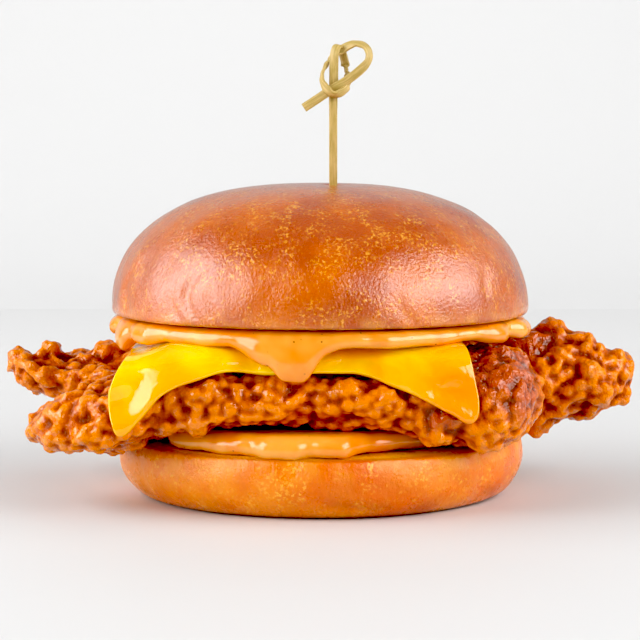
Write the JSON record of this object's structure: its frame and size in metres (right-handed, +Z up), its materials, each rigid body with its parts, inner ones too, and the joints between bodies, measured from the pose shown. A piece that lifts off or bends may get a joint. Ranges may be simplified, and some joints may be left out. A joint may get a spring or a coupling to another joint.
{
  "type": "chicken burger",
  "caption": "Fried chicken burger: craggy fillets, a melted cheese slice and sauce between the halves of a glossy bun, pinned by a knotted bamboo pick.",
  "frame": {"origin": "middle of the bottom bun's flat base", "axes": "+X to the right along the fillets as the front is looked at, +Y away from the front, +Z up"},
  "size_m": [0.1692, 0.1089, 0.1174],
  "materials": {
    "bun_crust": null,
    "sauce": "thick wet orange mayonnaise sauce with dark spice specks",
    "fried_crust": "craggy fried breading, golden orange on the knobs and red-brown in the creases, sticky and glossy in patches",
    "cheese": "melted yellow processed cheese, smooth and slightly greasy",
    "bamboo": "split green bamboo with fine grain along the strip"
  },
  "bodies": {
    "root": {"bottom_bun": "bun_crust", "bottom_sauce": "sauce", "front_fillet": "fried_crust", "back_fillet": "fried_crust", "cheese_slice": "cheese", "top_sauce": "sauce", "top_bun": "bun_crust", "knotted_pick": "bamboo"}
  },
  "joints": []
}
